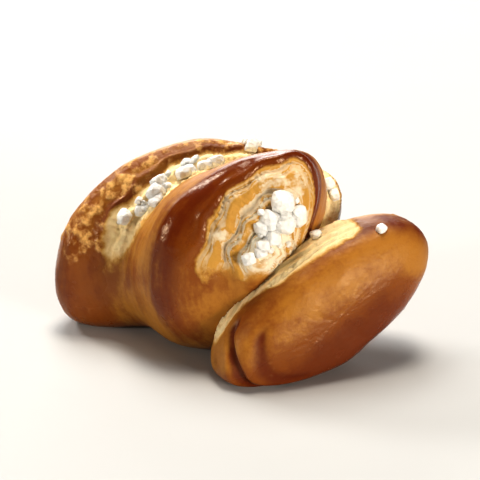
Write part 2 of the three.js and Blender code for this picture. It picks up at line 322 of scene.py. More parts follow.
class Finish(bpy.types.PropertyGroup):
    """The colours of the bake and its painted glints, and of the salt."""

    golden: colour("Golden", "Lightly baked crust", 173, 118, 44)
    brown: colour("Brown", "Well baked crust", 135, 73, 19)
    # Dark is also the painted shade in the flap's creases.
    dark: colour("Dark", "Crust on the lips of the folds", 105, 40, 6)
    # Blister tops: lighter golden blisters, and a painted highlight in place of the crust's glints.
    blister_and_glint: colour("Blister", "Tops of the crust's blisters", 232, 184, 112)
    tan: colour("Tan", "Edges of the open layers", 198, 150, 68)
    cream: colour("Cream", "Open layers of the first folds and the flap", 255, 232, 180)
    pale: colour("Pale", "Open layers of the last fold", 232, 224, 202)
    salt: colour("Salt", "Coarse salt", 240, 238, 232)
    salt_shade: colour("Salt shade", "Cloudy parts of the salt", 237, 231, 218)
    floor: colour("Floor", "Matt floor", 197, 197, 195)


class StageSettings(bpy.types.PropertyGroup):
    """The studio: the camera, the lights and the floor."""

    azimuth: angle("Azimuth", "Where the camera stands round the bite", 1.36)
    elevation: angle("Elevation", "How high the camera stands", 24.1)
    distance: length("Distance", "How far the camera stands away", 743)
    frame_width: length("Frame width", "Width of what the picture shows at the bite", 82)
    floor_radius: length("Floor radius", "Radius of the floor", 4000)
    world_light: number("World light", "Strength of the even light from all round", 0.075)
    light_power: number("Light power", "Power of the soft lights, 1 as first set", 1.0)
    warm: colour("Warm", "Tint of the warm lights", 255, 247, 236)
    gamma: number("Gamma", "How light the middle tones of the picture are", 0.82)


# Values and nodes

def both_ways(operation):
    """An operator that adds a Math node, and its reflected form."""
    def operator(self, other):
        return self.nodes.maths(operation, self, other)

    def reflected(self, other):
        return self.nodes.maths(operation, other, self)

    return operator, reflected


class Value:
    """An output of a node that takes part in sums: each operator adds a Math node to its tree."""

    def __init__(self, nodes, node, output):
        self.nodes = nodes
        self.node = node
        self.socket = next(socket for socket in node.outputs if socket.identifier == output)

    def part(self, output):
        return Value(self.nodes, self.node, output)

    __add__, __radd__ = both_ways("ADD")
    __sub__, __rsub__ = both_ways("SUBTRACT")
    __mul__, __rmul__ = both_ways("MULTIPLY")
    __truediv__, __rtruediv__ = both_ways("DIVIDE")
    __pow__, __rpow__ = both_ways("POWER")

    def __neg__(self):
        return self.nodes.maths("MULTIPLY", self, -1)


class Nodes:
    """A node tree that is filled from Python, with one method for every kind of node."""

    def __init__(self, tree):
        self.tree = tree

    def add(self, kind, output=None, sockets=None, settings=None):
        """Adds a node: its settings come first, then a value, a link or several links for each socket."""
        node = self.tree.nodes.new(kind)
        for name, setting in (settings or {}).items():
            setattr(node, name, setting)
        inputs = {socket.identifier: socket for socket in node.inputs}
        for name, given in (sockets or {}).items():
            for value in given if isinstance(given, list) else [given]:
                if isinstance(value, Value):
                    self.tree.links.new(value.socket, inputs[name])
                else:
                    inputs[name].default_value = value
        return Value(self, node, output) if output else node

    def maths(self, operation, *values):
        sockets = dict(zip(("Value", "Value_001"), values))
        return self.add("ShaderNodeMath", "Value", sockets, {"operation": operation})

    def geometry(self, kind, geometry, **sockets):
        """Adds a node that changes a geometry."""
        return self.add(f"GeometryNode{kind}", "Geometry", {"Geometry": geometry, **sockets})

    def vectors(self, operation, vector, **sockets):
        sockets = {"Vector": vector, **sockets}
        return self.add("ShaderNodeVectorMath", "Vector", sockets, {"operation": operation})

    def vector(self, x, y, z):
        return self.add("ShaderNodeCombineXYZ", "Vector", {"X": x, "Y": y, "Z": z})

    def noise(self, place, scale, detail=2.0, roughness=0.5):
        """Soft noise from 0 to 1. The scale is in features for each metre."""
        sockets = {"Vector": place, "Scale": scale, "Detail": detail, "Roughness": roughness}
        return self.add("ShaderNodeTexNoise", "Fac", sockets)

    def cells(self, place, scale):
        """The distance to the nearest of many scattered points."""
        return self.add("ShaderNodeTexVoronoi", "Distance", {"Vector": place, "Scale": scale})

    def blend(self, first, second, share):
        """A colour between two colours."""
        sockets = {"Factor_Float": share, "A_Color": opaque(first), "B_Color": opaque(second)}
        return self.add("ShaderNodeMix", "Result_Color", sockets, {"data_type": "RGBA"})


def opaque(tint):
    return tint if isinstance(tint, Value) else (*tint, 1)


def either(operation, plain):
    """A function that works plain numbers out at once, and adds a Math node for a field."""
    def worked_out(*values):
        for value in values:
            if isinstance(value, Value):
                return value.nodes.maths(operation, *values)
        return plain(*values)

    return worked_out


sine = either("SINE", math.sin)
cosine = either("COSINE", math.cos)
bearing = either("ARCTAN2", math.atan2)
fraction = either("FRACT", lambda value: value - math.floor(value))
size_of = either("ABSOLUTE", abs)
larger = either("MAXIMUM", max)
smaller = either("MINIMUM", min)
above = either("GREATER_THAN", lambda first, second: float(first > second))


def clamp(value):
    return smaller(larger(value, 0.0), 1.0)


def mix(first, second, share):
    return first + (second - first) * share


def smooth(low, high, value):
    """Rises softly from 0 at low to 1 at high."""
    share = clamp((value - low) / (high - low))
    return share * share * (3 - 2 * share)


def risen(spans, *values):
    """Rises softly from 0 to 1 where every value has passed its own span."""
    return math.prod(smooth(*span, value) for span, value in zip(spans, values))


def dome(share, power):
    """Rises from 0 to 1 as the rounded end of a loaf does."""
    return (1 - (1 - clamp(share)) ** power) ** (1 / power)


def turned(first, second, turn):
    """Turns a pair of coordinates."""
    return (
        first * cosine(turn) - second * sine(turn),
        first * sine(turn) + second * cosine(turn),
    )


# The form of the dough, for single points and for whole meshes alike

def settled(size, height):
    """The larger of a height and the floor, rounded where they meet."""
    near = larger(size.base_round - size_of(height), 0.0) / size.base_round
    return larger(height, 0.0) + near * near * size.base_round / 4 - size.base_cut


def swelling(size, along, turn):
    total = 0
    for waves, drift, phase, height in SWELLS:
        total = total + height * sine(waves * turn + drift * along + phase)
    return size.swell * total


def in_place(size, x, y, z):
    """From the strip's own axes to those of the whole bite."""
    x, y = turned(x, y, size.bite_turn)
    return x + size.bite_x, y + size.bite_y, z


def strip_course(size, along, turn):
    """How a point of the strip lies in its domed ends, its lean and its twist, counted in half turns."""
    lean_share = smooth(size.strip_end - size.end_lean_length, size.strip_end, along)
    lean = lean_share * (size.end_lean_y * cosine(turn) + size.end_lean_z * sine(turn))
    start_dome = dome((along - size.strip_start) / size.start_dome, size.start_dome_power)
    end_dome = dome((size.strip_end - along) / size.end_dome, size.end_dome_power)
    place = along + lean * end_dome
    fold_lean = size.fold_lean_y * cosine(turn) + size.fold_lean_z * sine(turn)
    twist = (turn + size.twist_at_middle) / math.pi + (place + fold_lean) / size.half_turn
    return SimpleNamespace(
        along=along, turn=turn, lean=lean, start_dome=start_dome, end_dome=end_dome, place=place,
        twist=twist, seam=smooth(*SEAM, turn),
    )


def layer_course(size, course):
    """How a point of the strip lies in the open layers: which layer, and how open they are there."""
    share = fraction(course.twist)
    for waves, drift in LAYER_WAVES:
        share = share + size.layer_wave * sine(waves * course.turn + drift * course.place)
    last = smooth(size.last_groove - 1, size.last_crest, course.twist)
    begin = mix(size.layers_first_from, size.layers_last_from, last)
    layer = (share - begin + size.layers_lean * cosine(course.turn)) / size.layer_step
    return SimpleNamespace(
        layer=layer, rise=fraction(layer), last=last, begun=smooth(-1, 0, layer),
        ended=smooth(size.layers_to - size.layer_step, size.layers_to, share),
        opened=smooth(size.layers_shut, size.layers_open, sine(course.turn)),
    )


def layer_height(size, layers):
    """Layer edges like roof tiles: each rises to its lip and then drops to the next one."""
    tile = layers.rise * (1 - smooth(size.layer_lip, 1, layers.rise))
    shown = layers.begun * (1 - layers.ended) * layers.opened
    return size.layer_relief * shown * (tile - size.layer_sink)


def strip_point(size, along, turn):
    """A point of the twisted strip, from its place along the axis and the angle round it."""
    course = strip_course(size, along, turn)
    wave = 0.5 + 0.5 * cosine(2 * math.pi * course.twist)
    past = above(course.twist, size.last_groove) * (1 - course.seam)
    fold = mix(size.start_fold, wave * (1 - past), course.start_dome)
    fold = mix(size.end_fold, fold, course.end_dome)
    deepening = smooth(size.last_crest, size.last_groove, course.twist) * (1 - course.seam)
    crease = mix(size.shallow_crease, size.deep_crease, deepening) * (1 - fold) ** size.crease_power
    bare = mix(size.groove_radius, size.crest_radius, fold) - crease
    layered = bare * (1 + swelling(size, course.place, turn)) + layer_height(size, layer_course(size, course))
    radius = layered * course.start_dome * course.end_dome
    bow = (course.place - size.bow_at) / size.bow_at
    axis = size.axis_height - size.slope * (course.place - size.bow_at) - size.arch * bow * bow
    side = radius * cosine(turn) - size.side_bow * bow * bow
    height = settled(size, axis + radius * sine(turn))
    return in_place(size, along + course.lean * radius / size.crest_radius, side, height)


def roll_crease(size, depth, turn):
    """How far the creases between the flap's rolled layers sink in, as a share of its reach."""
    turn = turn + 2 * math.pi * above(0.0, turn)
    shown = smooth(size.roll_edge, size.roll_full, cosine(turn - size.roll_towards))
    bent = clamp((size.roll_bend_from - turn) / size.roll_bend_length) ** 2
    deepest = 0.0
    for place, bend, half, sink in ROLL_CREASES:
        off = size_of(depth - place + bend * bent)
        deepest = larger(deepest, sink * (1 - smooth(0, half, off)))
    return shown * deepest


def flap_course(size, away, turn):
    """How a point of the flap lies: its plain reach from the middle, its depth through, and its crease."""
    far = sine(away) * cosine(turn) / size.flap_long
    up = sine(away) * sine(turn) / size.flap_wide
    face = (far * far + up * up) ** 0.5
    inverse = size_of(cosine(away) / size.flap_thick) ** size.flap_power + face ** size.flap_power
    plain = inverse ** (-1 / size.flap_power)
    depth = -cosine(away) * plain / size.flap_thick
    return SimpleNamespace(plain=plain, depth=depth, crease=roll_crease(size, depth, turn))


def flap_point(size, away, turn):
    """A point of the flap, from the angle away from the middle of its inner face and the angle round that."""
    course = flap_course(size, away, turn)
    reach = course.plain * (1 - course.crease + sine(away) * swelling(size, 0.0, turn))
    x = -reach * cosine(away)
    y = reach * sine(away) * cosine(turn)
    z = reach * sine(away) * sine(turn)
    y, z = turned(y, z, size.flap_roll)
    z, x = turned(z, x, size.flap_pitch)
    x, y = turned(x, y, size.flap_yaw)
    return in_place(size, x + size.flap_x, y + size.flap_y, settled(size, z + size.flap_z))


# The marks of the bake and of the painted light and shade, which the finish reads from the mesh

def strip_marks(size, along, turn):
    """What the strip's finish follows: the open layers, the dark lips, the bake with painted light on its
    underside, blister spots that get painted glints, and the way of the dough.
    """
    course = strip_course(size, along, turn)
    layers = layer_course(size, course)
    facing = sine(turn)
    part_turn = fraction(course.twist)
    share = fraction(course.twist + size.mark_start) - size.mark_start
    layer = layers.layer + (share - part_turn) / size.layer_step
    flank = above(course.twist, size.last_crest - size.mark_start)
    end = mix((size.layers_to - share) / size.torn_fade, 1.0, flank)
    early = EARLY_TEAR * smooth(*EARLY_FACING, facing) * (1 - layers.last)
    torn = smaller((layer * size.layer_step + early) / size.torn_rise, smaller(end, 1.0))
    lip = risen(LIP, layer, layer, facing)
    crest = risen(CREST, share, share, facing) * layers.last
    shoulder = risen(SHOULDER, share, share, facing) * (1 - layers.last)
    face = smooth(*FACE_SHARE, course.twist - size.last_crest)
    face = face * mix(*FACE_STRETCHED, smooth(*FACE_FACING, facing))
    stretched = larger(risen(STRETCHED, part_turn, part_turn), face)
    first_bake = mix(*FIRST_BAKE, smooth(*FIRST_FACING, facing))
    # Painted light on the underside: less dark where the strip faces down.
    bake = mix(first_bake, LAST_BAKE, layers.last) - PAINTED_UNDER_LIGHT * smooth(*UNDER_FACING, facing)
    bake = bake - STRETCHED_LIGHTER * stretched * smooth(*STRETCHED_FACING, facing)
    upright = 1 - course.seam - smooth(*SEAM_TURN, turn / math.pi)
    past_end = smooth(*END_DOME, course.start_dome)
    return {
        "torn": (larger(torn, -1.0) + 1) * smooth(*TORN_FACING, facing) * past_end - 1,
        "layer": layer,
        "last": mix(LEAST_MARK, 1.0, layers.last),
        "dark": larger(LIP_DARK * lip, crest) * past_end,
        "bake": mix(END_BAKE, bake, past_end),
        "spots": mix(LEAST_MARK, 1.0, shoulder * past_end),
        "drawn": smooth(*DRAWN_DOME, course.start_dome),
        **grain_marks(STRIP_GRAIN, (course.twist * upright, cosine(turn), facing)),
    }


def flap_marks(size, away, turn):
    """The same on the flap: an open upper rim, painted shade in the creases, a dark far corner, painted
    highlights on the curls and in the middle, and a bottom darkened by bake and painted shade.
    """
    course = flap_course(size, away, turn)
    depth = course.depth
    up = sine(turn)
    far = cosine(turn)
    flat = course.plain * sine(away)
    long = flat * far / size.flap_long
    wide = flat * up / size.flap_wide
    over = wide - PAINTED_SHEEN_UP
    # Painted shade in the creases.
    crease = smooth(*PAINTED_CREASE_SHADE, course.crease / ROLL_CREASES[0][3])
    corner = risen(CORNER, depth, depth, far, up)
    # Painted highlight on the rolled layers.
    curl_highlight = risen(CURL, cosine(turn - size.roll_towards), depth)
    limit = RIM_DEPTH - RIM_NARROWS * smooth(*RIM_NEAR, -far)
    torn = larger(smaller((limit - depth) / RIM_FADE, 1.0), -1.0)
    rim = risen(RIM, up, far)
    # Painted highlight: the soft sheen in the middle of the face.
    middle = risen(PAINTED_SHEEN_SPANS, (long * long + over * over) ** 0.5, depth)
    # Darker low on the face: part bake, part painted shade.
    low = risen(LOW, wide, long)
    right = risen(RIGHT, long, wide)
    bake = FLAP_BAKE + LOW_BAKE_AND_SHADE * low - PAINTED_CURL_HIGHLIGHT * curl_highlight
    alike = 0 * depth
    return {
        "torn": (torn + 1) * rim - 1,
        "layer": RIM_LAYERS * depth,
        "last": RIM_LAST + alike,
        # The far corner's dark crust, and the painted shade in the creases.
        "dark": larger(CORNER_DARK * corner, crease),
        "bake": bake - PAINTED_SHEEN * middle - RIGHT_LIGHTER * right,
        "spots": LEAST_MARK + alike,
        "drawn": FLAP_DRAWN + alike,
        **grain_marks(FLAP_GRAIN, (wide, long, depth)),
    }


def grain_marks(stretch, place):
    """The coordinates that the streaks follow, one mark for each axis."""
    return {f"grain_{axis}": much * part for axis, much, part in zip("xyz", stretch, place)}


# Geometry Nodes

def input_values(nodes, sizes):
    """Adds a named input to a tree for each size of a group, and gives the inputs as values."""
    sockets = {}
    for prop in own_properties(sizes):
        kind = "NodeSocketInt" if prop.type == "INT" else "NodeSocketFloat"
        socket = nodes.tree.interface.new_socket(prop.name, in_out="INPUT", socket_type=kind)
        sockets[prop.identifier] = socket.identifier
    entry = nodes.add("NodeGroupInput")
    values = {name: Value(nodes, entry, identifier) for name, identifier in sockets.items()}
    return SimpleNamespace(**values), sockets


def new_geometry_tree(name):
    tree = bpy.data.node_groups.new(name, "GeometryNodeTree")
    for way in ("OUTPUT", "INPUT"):
        tree.interface.new_socket("Geometry", in_out=way, socket_type="NodeSocketGeometry")
    return Nodes(tree)


def end_tree(nodes, geometry, material):
    """Ends a tree with smooth faces, real instances and the material."""
    geometry = nodes.geometry("SetShadeSmooth", geometry, **{"Shade Smooth": True})
    geometry = nodes.geometry("RealizeInstances", geometry)
    geometry = nodes.geometry("SetMaterial", geometry, Material=material)
    nodes.add("NodeGroupOutput", None, {"Socket_0": geometry})


def store(nodes, geometry, name, value):
    sockets = {"Geometry": geometry, "Name": name, "Value": value}
    settings = {"data_type": "FLOAT", "domain": "POINT"}
    return nodes.add("GeometryNodeStoreNamedAttribute", "Geometry", sockets, settings)


def stored(nodes, name, kind="FLOAT"):
    return nodes.add("GeometryNodeInputNamedAttribute", "Attribute", {"Name": name}, {"data_type": kind})


def surface(nodes, rows, columns, place, marks_at, point_at):
    """A closed surface over a square grid: each grid point is marked, moved to its place and welded."""
    sockets = {"Size X": 1.0, "Size Y": 1.0, "Vertices X": columns + 1, "Vertices Y": rows + 1}
    mesh = nodes.add("GeometryNodeMeshGrid", "Mesh", sockets)
    position = nodes.add("GeometryNodeInputPosition", "Position")
    across = nodes.add("ShaderNodeSeparateXYZ", "X", {"Vector": position})
    u, v = place(across.part("Y") + 0.5, across + 0.5)
    for name, value in marks_at(u, v).items():
        mesh = store(nodes, mesh, name, value)
    mesh = store(nodes, mesh, "known", 1.0)
    mesh = nodes.geometry("SetPosition", mesh, Position=nodes.vector(*point_at(u, v)))
    return nodes.geometry("MergeByDistance", mesh, Distance=WELD)


def combined(nodes, operation, meshes):
    settings = {"operation": operation, "solver": "MANIFOLD"}
    return nodes.add("GeometryNodeMeshBoolean", "Mesh", meshes, settings)


def cut_at_floor(nodes, mesh):
    """Cuts a mesh flat where it rests."""
    side = 200 * MM
    block = nodes.add("GeometryNodeMeshCube", "Mesh", {"Size": (side, side, side)})
    block = nodes.geometry("Transform", block, Translation=(0, 0, -side / 2))
    return combined(nodes, "DIFFERENCE", {"Mesh 1": mesh, "Mesh 2": block})


def mended_marks(nodes, mesh, names):
    """Gives the points that a join has made the marks of the points beside them."""
    known = stored(nodes, "known")
    beside = larger(blurred(nodes, known), 0.01)
    for name in names:
        mark = stored(nodes, name)
        mesh = store(nodes, mesh, name, mix(blurred(nodes, mark) / beside, mark, known))
    return mesh


def blurred(nodes, value):
    sockets = {"Value": value, "Iterations": 2, "Weight": 1.0}
    return nodes.add("GeometryNodeBlurAttribute", "Value", sockets, {"data_type": "FLOAT"})


def smoothed(nodes, mesh, size):
    """Takes the grid's steps off the layers' edges."""
    position = nodes.add("GeometryNodeInputPosition", "Position")
    sockets = {"Value": position, "Iterations": size.smoothing, "Weight": 1.0}
    settings = {"data_type": "FLOAT_VECTOR"}
    smooth_place = nodes.add("GeometryNodeBlurAttribute", "Value", sockets, settings)
    return nodes.geometry("SetPosition", mesh, Position=smooth_place)


def sheets(nodes, layer, grain):
    """The thin sheets within a layer, each rising from 0 to 1 and then falling back at once."""
    return fraction(3 * layer + 3.5 * nodes.noise(grain, 0.4, 5.0, 0.6))


def blister_and_glint(nodes, place, spots):
    """Small blisters in the crust, which rise from 0 to 1 where the marks let them; the finish also paints
    glints on them.
    """
    present = 0.5 * nodes.noise(place, 140) + 0.2 * spots
    return smooth(0.0, 0.3, nodes.noise(place, 620, 3.0, 0.55) + present - 0.93)


def roughened(nodes, mesh, size):
    """Fine relief along the surface: pores, wrinkles and blisters in the crust, sheets in the open layers."""
    position = nodes.add("GeometryNodeInputPosition", "Position")
    height = nodes.add("ShaderNodeSeparateXYZ", "Z", {"Vector": position})
    torn = smooth(-0.2, 0.4, stored(nodes, "torn"))
    grain = nodes.vector(*(stored(nodes, f"grain_{axis}") for axis in "xyz"))
    pores = (nodes.noise(position, 1300, 2.0) - 0.5) * size.pore_depth
    spots = stored(nodes, "spots")
    wrinkles = (nodes.noise(position, 420, 3.0) - 0.5) * size.wrinkle_depth * mix(CALM, 1.0, spots)
    streaks = (nodes.noise(grain, 0.6, 3.0) - 0.5) * size.streak_depth * stored(nodes, "drawn")
    blisters = blister_and_glint(nodes, position, spots) * size.blister_height
    fibres = (nodes.noise(position, 800, 3.0, 0.6) - 0.5) * size.fibre_depth
    flakes = (sheets(nodes, stored(nodes, "layer"), grain) - 0.5) * size.flake_depth
    relief = pores + mix(wrinkles + streaks + blisters, fibres + flakes, torn)
    relief = relief * smooth(*BASE_FADE, height)
    normal = nodes.add("GeometryNodeInputNormal", "Normal")
    offset = nodes.vectors("SCALE", normal, Scale=relief)
    return nodes.geometry("SetPosition", mesh, Offset=offset)


def dough_tree(sizes, material):
    """The whole dough: strip and flap as closed surfaces, joined, cut flat below and roughened."""
    nodes = new_geometry_tree("Twisted dough")
    size, sockets = input_values(nodes, sizes)

    def strip_place(row, column):
        eased = 0.5 - 0.5 * cosine(math.pi * row)
        along = mix(size.strip_start, size.strip_end, mix(row, eased, EASING))
        return along, 2 * math.pi * column - math.pi / 2

    def flap_place(row, column):
        away = math.pi * row
        turn = 2 * math.pi * column
        far = sine(away) * cosine(turn) * size.flap_long
        up = sine(away) * sine(turn) * size.flap_wide
        return bearing((far * far + up * up) ** 0.5, cosine(away) * size.flap_thick), bearing(up, far)

    strip = surface(
        nodes, size.strip_rows, size.strip_columns, strip_place,
        partial(strip_marks, size), partial(strip_point, size),
    )
    flap = surface(
        nodes, size.flap_rows, size.flap_columns, flap_place,
        partial(flap_marks, size), partial(flap_point, size),
    )
    dough = cut_at_floor(nodes, combined(nodes, "UNION", {"Mesh 2": [strip, flap]}))
    dough = mended_marks(nodes, dough, MARKS)
    end_tree(nodes, roughened(nodes, smoothed(nodes, dough, size), size), material)
    return nodes.tree, sockets


def salt_tree(sizes, material):
    """Rounded blocks of salt, one on each point of a mesh that holds their turns and sizes."""
    nodes = new_geometry_tree("Scattered salt")
    size, sockets = input_values(nodes, sizes)
    points = nodes.add("NodeGroupInput", "Socket_1")
    block_sockets = {"Size": (2, 2, 2), "Vertices X": 4, "Vertices Y": 4, "Vertices Z": 4}
    block = nodes.add("GeometryNodeMeshCube", "Mesh", block_sockets)
    position = nodes.add("GeometryNodeInputPosition", "Position")
    ball = nodes.vectors("NORMALIZE", position)
    mix_sockets = {"Factor_Float": size.roundness, "A_Vector": position, "B_Vector": ball}
    rounded = nodes.add("ShaderNodeMix", "Result_Vector", mix_sockets, {"data_type": "VECTOR"})
    block = nodes.geometry("SetPosition", block, Position=rounded)
    turn = stored(nodes, "turn", "FLOAT_VECTOR")
    scale = stored(nodes, "size", "FLOAT_VECTOR")
    turn = nodes.add("FunctionNodeEulerToRotation", "Rotation", {"Euler": turn})
    instance_sockets = {"Points": points, "Instance": block, "Rotation": turn, "Scale": scale}
    grains = nodes.add("GeometryNodeInstanceOnPoints", "Instances", instance_sockets)
    grains = nodes.geometry("RealizeInstances", grains)
    lump_sockets = {"Vector": position, "Scale": size.lump_scale, "Detail": 2.0}
    lumps = nodes.add("ShaderNodeTexNoise", "Color", lump_sockets)
    lumps = nodes.vectors("SUBTRACT", lumps, Vector_001=(0.5, 0.5, 0.5))
    offset = nodes.vectors("SCALE", lumps, Scale=size.lumps)
    grains = nodes.geometry("SetPosition", grains, Offset=offset)
    end_tree(nodes, grains, material)
    return nodes.tree, sockets


def in_scene(name, data):
    """A new object in the scene."""
    thing = bpy.data.objects.new(name, data)
    bpy.context.scene.collection.objects.link(thing)
    return thing


def made_piece(name, tree, sockets, sizes, mesh):
    """Runs a tree once and keeps its result as a mesh that rides on the body."""
    piece = in_scene(name, mesh)
    modifier = piece.modifiers.new(name, "NODES")
    modifier.node_group = tree
    for identifier, socket in sockets.items():
        modifier[socket] = getattr(sizes, identifier)
    evaluated = piece.evaluated_get(bpy.context.evaluated_depsgraph_get())
    result = bpy.data.meshes.new_from_object(evaluated)
    piece.modifiers.remove(modifier)
    piece.data = result
    if not result.polygons:
        raise RuntimeError(f"{name} came out empty")
    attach(piece, BODY)
    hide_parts(NODE)


# Salt

def draw(seed):
    """A seeded draw from 0 to 1: a sine whose far digits are kept."""
    return fraction(math.sin(seed * 12.9898 + 4.1414) * 43758.5453)


def outward(point_at, u, v, probe_u, probe_v):
    along_u = Vector(point_at(u + probe_u, v)) - Vector(point_at(u - probe_u, v))
    along_v = Vector(point_at(u, v + probe_v)) - Vector(point_at(u, v - probe_v))
    return along_v.cross(along_u).normalized()


def grain(salt, turn, point, normal, smallest, largest, seed):
    """Where one grain lies, how it is turned and how large it is."""
    half = mix(smallest, largest, draw(seed) ** 2)
    height = half * salt.flatness
    across = half * mix(*GRAIN_LENGTHS, draw(seed + 1))
    sizes = (across, half * mix(*GRAIN_WIDTHS, draw(seed + 2)), height)
    spin = Matrix.Rotation(2 * math.pi * draw(seed + 3), 3, "Z")
    tip = Matrix.Rotation(salt.tip * (2 * draw(seed + 4) - 1), 3, "X")
    whole = Matrix.Rotation(turn, 3, "Z")
    own_normal = whole.inverted() @ normal
    lay = whole @ UP.rotation_difference(own_normal).to_matrix() @ tip @ spin
    middle = Vector(point) + normal * height * (1 - 2 * salt.sunk)
    return middle, lay.to_euler(), sizes


def grains_of_salt(dough, salt):
    """The coarse grains of every run and of the flap, then the fine grains among them."""
    on_strip = partial(strip_point, dough)
    on_flap = partial(flap_point, dough)

    def run_grain(run, share, stray, smallest, largest, seed):
        along_ends, turn_ends, _, _, scale = run
        turn = math.radians(mix(*turn_ends, share))
        along = MM * (mix(*along_ends, share) + stray * (2 * draw(seed + 6) - 1))
        normal = outward(on_strip, along, turn, PROBE_LENGTH, PROBE_ANGLE)
        point = on_strip(along, turn)
        return grain(salt, dough.bite_turn, point, normal, smallest * scale, largest * scale, seed)

    grains = []
    seed = salt.first_draw
    for run in SALT_RUNS:
        for n in range(run[2]):
            share = (n + 0.5 + salt.scatter * (2 * draw(seed + 5) - 1)) / run[2]
            grains.append(run_grain(run, share, run[3], salt.grain_small, salt.grain_large, seed))
            seed += salt.next_draw
    for away, turn in FLAP_SALT:
        away, turn = math.radians(away), math.radians(turn)
        normal = outward(on_flap, away, turn, PROBE_ANGLE, PROBE_ANGLE)
        point = on_flap(away, turn)
        grains.append(
            grain(salt, dough.bite_turn, point, normal, salt.grain_small, salt.grain_large, seed)
        )
        seed += salt.next_draw
    for run in SALT_RUNS:
        for n in range(round(run[2] * salt.fine_share)):
            stray = run[3] * salt.fine_stray
            grains.append(run_grain(run, draw(seed + 5), stray, salt.fine_small, salt.fine_large, seed))
            seed += salt.next_draw
    return grains


def salt_points(grains):
    """A mesh of bare points that hold the turn and the size of each grain."""
    mesh = bpy.data.meshes.new("salt_points")
    mesh.from_pydata([middle for middle, _, _ in grains], [], [])
    for name, values in (("turn", [g[1] for g in grains]), ("size", [g[2] for g in grains])):
        attribute = mesh.attributes.new(name, "FLOAT_VECTOR", "POINT")
        attribute.data.foreach_set("vector", [part for value in values for part in value])
    return mesh


# Finishes

def own_nodes(owner):
    """The emptied node tree of a material or a world."""
    owner.use_nodes = True
    owner.node_tree.nodes.clear()
    return Nodes(owner.node_tree)


def new_material(name):
    """A material, its nodes and the place on the piece that they follow."""
    material = bpy.data.materials.new(name)
    nodes = own_nodes(material)
    return material, nodes, nodes.add("ShaderNodeTexCoord", "Object")


def end_material(nodes, sockets):
    shader = nodes.add("ShaderNodeBsdfPrincipled", "BSDF", sockets)
    nodes.add("ShaderNodeOutputMaterial", None, {"Surface": shader})


def mark(nodes, name):
    return nodes.add("ShaderNodeAttribute", "Fac", None, {"attribute_name": name})


def bumped(nodes, height, distance, strength):
    sockets = {"Strength": strength, "Distance": distance, "Height": height}
    return nodes.add("ShaderNodeBump", "Normal", sockets)


def crust_material(finish):
    """Lye crust from golden to dark brown, glossy, with pale matt dough where the layers are open."""
    material, nodes, place = new_material("Lye crust")
    torn, layer, last, dark, bake, spots, drawn, *grain = (mark(nodes, name) for name in MARKS)
    grain = nodes.vector(*grain)
    broad = nodes.noise(place, 75, 2.0)
    patches = nodes.noise(place, 300, 3.0, 0.6)
    specks = nodes.noise(place, 1500, 2.0, 0.6)
    fibres = nodes.noise(place, 750, 4.0, 0.65)
    streaks = mix(0.5, nodes.noise(grain, 0.3, 5.0, 0.65), drawn)
    sheet = sheets(nodes, layer, grain)

    uneven = 0.7 * (broad - 0.5) + 0.9 * (patches - 0.5) + 2.2 * (streaks - 0.5) + 0.4 * (specks - 0.5)
    # The bake mark carries painted light and shade as well as the bake.
    baked = bake + uneven
    crust = nodes.blend(finish.golden, finish.brown, smooth(0.0, 0.75, baked))
    crust = nodes.blend(crust, finish.dark, 0.8 * smooth(0.8, 1.7, baked))
    darkened = clamp(dark * (1.0 + 1.2 * (patches - 0.5) + 2.0 * (streaks - 0.5)))
    crust = nodes.blend(crust, finish.dark, darkened)
    # Blister tops painted lighter: part blister colour, part painted glints.
    crust = nodes.blend(crust, finish.blister_and_glint, spots * blister_and_glint(nodes, place, spots))

    ragged = torn + 0.5 * (fibres - 0.5) + 0.9 * (streaks - 0.5) + 0.9 * (patches - 0.5)
    opened = smooth(-0.4, 0.05, ragged)
    bare = smooth(-0.2, 0.35, ragged)
    rise = fraction(layer)
    edge = smooth(0.55, 0.8, rise) * smooth(1.0, 0.92, rise)
    gap = smooth(0.7, 0.95, sheet)
    upper = smooth(2.2, 0.4, layer) * last
    broken = smooth(0.32, 0.55, patches)
    inner = smooth(3.6, 2.2, layer)
    lines = last * inner * broken * (edge + 0.7 * gap)
    browned = clamp(lines + upper * (0.55 + 1.6 * (patches - 0.5)) + 0.8 * (fibres - 0.5))
    open_dough = nodes.blend(finish.cream, finish.pale, last)
    dough = nodes.blend(finish.tan, nodes.blend(open_dough, finish.tan, browned), bare)

    pitted = (0.7 * specks + 0.5 * patches) * mix(CALM, 1.0, spots)
    relief = pitted + (0.7 * fibres + 0.5 * sheet) * opened
    end_material(nodes, {
        "Base Color": nodes.blend(crust, dough, opened),
        "Roughness": 0.46 - 0.23 * smooth(0.2, 0.9, bake) + 0.3 * (patches - 0.5) + 0.35 * opened,
        "Specular IOR Level": 0.42,
        "Specular Tint": (1.0, 0.82, 0.58, 1.0),
        "Subsurface Weight": 0.06,
        "Subsurface Radius": (1.0, 0.55, 0.25),
        "Subsurface Scale": 1.5 * MM,
        "Normal": bumped(nodes, relief, 0.3 * MM, 0.6),
    })
    return material


def salt_material(finish):
    """Coarse salt: white, slightly clear, with a dull broken surface."""
    material, nodes, place = new_material("Coarse salt")
    cloud = nodes.noise(place, 600, 3.0)
    grit = nodes.noise(place, 3000, 2.0)
    end_material(nodes, {
        "Base Color": nodes.blend(finish.salt, finish.salt_shade, clamp(cloud - 0.5)),
        "Roughness": 0.3 + 0.3 * grit,
        "Subsurface Weight": 0.3,
        "Subsurface Radius": (1.0, 0.95, 0.85),
        "Subsurface Scale": 1.2 * MM,
        "Normal": bumped(nodes, nodes.cells(place, 1100) + 0.3 * grit, 0.6 * MM, 0.7),
    })
    return material


